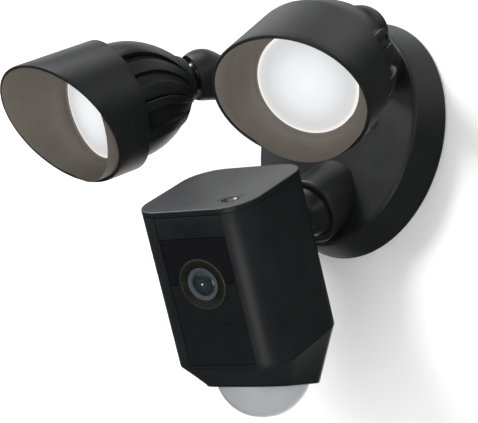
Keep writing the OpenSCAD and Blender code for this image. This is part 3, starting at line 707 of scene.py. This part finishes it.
# ---------- the lens ----------
rings = [(8.76, -2), (13.38, -2), (13.38, 0.12, 0.18), (12.95, 0.28, 0.18), (12.5, 0.16, 0.1)]
for i in range(6):
    r = 12.3 - i * 0.56
    rings += [(r, 0.12 - 0.11 * i), (r - 0.12, 0.03 - 0.11 * i), (r - 0.44, 0.03 - 0.11 * i)]
rings += [(8.76, -0.7)]
lathe("lens_surround", rings, LENS, SURROUND, "camera", ["lens_ring"], count=160, steps=4)
barrel = [(4, -20), (8.68, -20), (8.68, -0.1, 0.2), (8.35, 0.12, 0.22), (7.95, 0.05, 0.1)]
for i in range(4):
    r = 7.75 - i * 0.34
    barrel += [(r, -0.05 - 0.15 * i), (r - 0.1, -0.18 - 0.15 * i)]
barrel += [(6.46, -0.8), (6.46, -4.0), (4, -4.6)]
LENS_BEZEL = coated("lens_bezel", (0.05, 0.058, 0.064), (0.065, 0.075, 0.082), (0.22, 0.3), bump=0.04,
                    specular=0.3)
lathe("lens_bezel", barrel, LENS, LENS_BEZEL, "camera", ["lens_barrel"], count=128, steps=4)
dome_glass = [(0.001, -4), (6.35, -4), (6.35, -1.25, 0.15)]
dome_glass += [(6.35 * f, 0.15 - 1.3 * f * f) for f in (0.97, 0.85, 0.7, 0.55, 0.4, 0.25, 0.12)] + [(0.001, 0.15)]
# the cover's paint carries a painted highlight in its middle
lathe("lens_cover", dome_glass, LENS, GLASS, "camera", ["lens_glass"], count=96, closed=False)
lathe("light_sensor_window", [(0.001, -2), (0.85, -2), (0.85, -0.12, 0.1), (0.001, -0.05)], sensor_at, GLOSS,
      "camera", ["light_sensor"], count=40, closed=False)

# ---------- the skirt and its dome ----------
TO_CAMERA = CAMERA.inverted() @ SKIRT


def skirt_ring(half, radius, z, circle=None):
    pts = []
    for x, y, _ in box_ring(2 * half, 2 * half, radius, 0):
        if circle:
            a = math.atan2(y, x)
            x, y = circle * math.cos(a), circle * math.sin(a)
        pts.append(tuple(TO_CAMERA @ Vector((x, y, z))))
    return pts


half = SKIRT_W / 2
rings = [box_ring(W - 0.6, D - 0.6, CORNER - 0.3, -H - 0.03), box_ring(W - 0.12, D - 0.12, CORNER - 0.06, -H - 0.1),
         box_ring(W, D, CORNER, -H - 0.4)]
low = skirt_ring(half, 15, 0.9)
for f in (0.25, 0.5, 0.75):
    rings.append([tuple(Vector(a).lerp(Vector(b), f)) for a, b in zip(rings[2], low)])
rings += [low, skirt_ring(half - 0.25, 14.8, 0.3), skirt_ring(half - 0.75, 14.4, 0.02), skirt_ring(half - 1.3, 14, 0.0),
          skirt_ring(half, 15, 0.0, 24.3), skirt_ring(half, 15, 0.1, 24.05), skirt_ring(half, 15, 1.2, 24.05),
          skirt_ring(half, 15, 1.2, 21.6), skirt_ring(half, 15, 8, 21.6)]
piece(lofted("sensor_skirt", rings, CAMERA), SHELL, "camera", ["bottom_bezel"], sharp=24)
cap_r = (DOME_R ** 2 + DOME_H ** 2) / (2 * DOME_H)
outer = [(math.sqrt(max(cap_r ** 2 - (z + cap_r - DOME_H) ** 2, 0)), z) for z in
         [DOME_H * k / 18 for k in range(0, 18)]]
inner = [(math.sqrt(max((cap_r - 1.4) ** 2 - (z + cap_r - DOME_H) ** 2, 0)), z) for z in
         [(DOME_H - 1.4) * k / 14 for k in range(0, 14)]]
shape = [(0.001, -(DOME_H - 1.4))] + [(r, -z) for r, z in reversed(inner)] + [(r, -z) for r, z in outer]
shape += [(0.001, -DOME_H)]
lathe("motion_sensor_dome", shape, SKIRT @ move(0, 0, -0.05), DOME, "camera", ["pir_dome"], count=120,
      closed=False, sharp=60)


# ---------- carried-over CAD nodes ----------
# black_metal parts take the casting paint, lightened as painted fill light
PAINT = {
    # cap_plastic parts take the cap paint with its painted sheen
    "black_metal": CASTING, "black_plastic": SHELL, "cap_plastic": CAP_PAINTED_SHEEN, "gloss_black": GLOSS, "window": PLATE,
    "steel": STEEL, "black_steel": BLACK_STEEL, "brass_green": GREEN, "rubber": RUBBER, "board": BOARD,
    "winding": WINDING, "capacitor": CAPACITOR, "white_plastic": WHITE, "acetal": ACETAL, "led_board": LED_BOARD,
    "led": CHIP, "reflector": INSIDE, "opal": OPAL, "lens_metal": ALU, "lens_glass": GLASS, "dome": DOME,
    "sensor_can": STEEL,
}
for sub in frame["record"]["subparts"]:
    ob = nodes[sub["node"]]
    ob.data.materials.clear()
    ob.data.materials.append(PAINT[sub["material_slot"]])


# ---------- the room ----------
def stage_plane(name, points, material):
    me = bpy.data.meshes.new(name)
    me.from_pydata(points, [], [(0, 1, 2, 3)])
    me.materials.append(material)
    ob = bpy.data.objects.new(name, me)
    bpy.context.scene.collection.objects.link(ob)
    return ob


def plaster(name, level, glow):
    """Matt paint that is clear when seen from behind."""
    m, t, b = shader(name)
    place = node(t, "ShaderNodeTexCoord")
    slow = node(t, "ShaderNodeTexNoise", Scale=6.0, Detail=4.0)
    t.links.new(place.outputs["Object"], slow.inputs["Vector"])
    tone = ramp(t, slow.outputs["Fac"], [(0.3, level - 0.01), (0.7, level)])
    t.links.new(tone.outputs["Color"], b.inputs["Base Color"])
    b.inputs["Roughness"].default_value = 0.9
    b.inputs["Specular IOR Level"].default_value = 0.1
    b.inputs["Emission Color"].default_value = (1, 1, 1, 1)
    b.inputs["Emission Strength"].default_value = glow
    out = next(n for n in t.nodes if n.type == "OUTPUT_MATERIAL")
    face = node(t, "ShaderNodeNewGeometry")
    clear = node(t, "ShaderNodeBsdfTransparent")
    mix = node(t, "ShaderNodeMixShader")
    t.links.new(face.outputs["Backfacing"], mix.inputs[0])
    t.links.new(b.outputs[0], mix.inputs[1])
    t.links.new(clear.outputs[0], mix.inputs[2])
    t.links.new(mix.outputs[0], out.inputs["Surface"])
    return m


FLOOR_Z = -0.62
wall = stage_plane("wall", [(-6, 0.0006, FLOOR_Z), (6, 0.0006, FLOOR_Z), (6, 0.0006, 5), (-6, 0.0006, 5)],
                   plaster("wall_paint", 0.93, 0.06))
floor = stage_plane("floor", [(-6, -6, FLOOR_Z), (6, -6, FLOOR_Z), (6, 6, FLOOR_Z), (-6, 6, FLOOR_Z)],
                    plaster("floor_paint", 0.62, 0.0))
wall.visible_glossy = floor.visible_glossy = False

world = bpy.data.worlds.new("studio")
bpy.context.scene.world = world
world.use_nodes = True
sky = world.node_tree
high = node(sky, "ShaderNodeVectorMath", operation="DOT_PRODUCT")
high.inputs[1].default_value = (0, -0.5, 0.85)
sky.links.new(node(sky, "ShaderNodeTexCoord").outputs["Generated"], high.inputs[0])
soft = ramp(sky, high.outputs["Value"], [(0.14, 0.065), (0.3, 1.25), (0.48, 1.25), (0.66, 0.22)])
sky.links.new(soft.outputs["Color"], sky.nodes["Background"].inputs["Color"])
sky.nodes["Background"].inputs["Strength"].default_value = 1.0


def area(name, place, target, size, power, colour=(1, 1, 1), height=None):
    light = bpy.data.lights.new(name, "AREA")
    light.energy, light.color, light.size = power, colour, size
    if height:
        light.shape, light.size_y = "RECTANGLE", height
    ob = bpy.data.objects.new(name, light)
    bpy.context.scene.collection.objects.link(ob)
    ob.location = place
    ob.rotation_mode = "QUATERNION"
    ob.rotation_quaternion = (Vector(target) - Vector(place)).to_track_quat("-Z", "Y")
    return ob


area("key", (-0.75, -0.85, 1.0), (0, -0.05, 0), 0.45, 22)
area("top", (-0.1, -0.5, 1.3), (0, -0.08, 0), 0.8, 8)
area("rim", (1.1, -0.5, 0.1), (0, -0.08, 0), 0.5, 0.8)
area("low_rim", (0.33, -0.45, -0.5), (0, -0.12, -0.08), 0.25, 1.0)
area("front_fill", (0.5, -1.3, -0.2), (0, -0.08, 0), 1.2, 2.6)
area("back_fill", (-0.9, 1.2, -0.3), (0, 0, 0), 0.9, 5)

# ---------- the camera ----------
eye, aim = Vector((0.7300, -0.68651, -0.24306)), Vector((-0.0384, -0.05182, -0.04591))
ahead = (aim - eye).normalized()
right = ahead.cross(Vector((0, 0, 1))).normalized()
up = right.cross(ahead)
tilt = math.radians(3.84)
right, up = math.cos(tilt) * right + math.sin(tilt) * up, -math.sin(tilt) * right + math.cos(tilt) * up
lens = bpy.data.cameras.new("camera")
lens.sensor_width, lens.sensor_fit, lens.lens = 36, "HORIZONTAL", 137.33
lens.clip_start, lens.clip_end = 0.05, 50
viewer = bpy.data.objects.new("camera", lens)
bpy.context.scene.collection.objects.link(viewer)
viewer.matrix_world = Matrix(((right.x, up.x, -ahead.x, eye.x), (right.y, up.y, -ahead.y, eye.y),
                              (right.z, up.z, -ahead.z, eye.z), (0, 0, 0, 1)))
bpy.context.scene.camera = viewer
bpy.context.scene.view_settings.view_transform = "Standard"
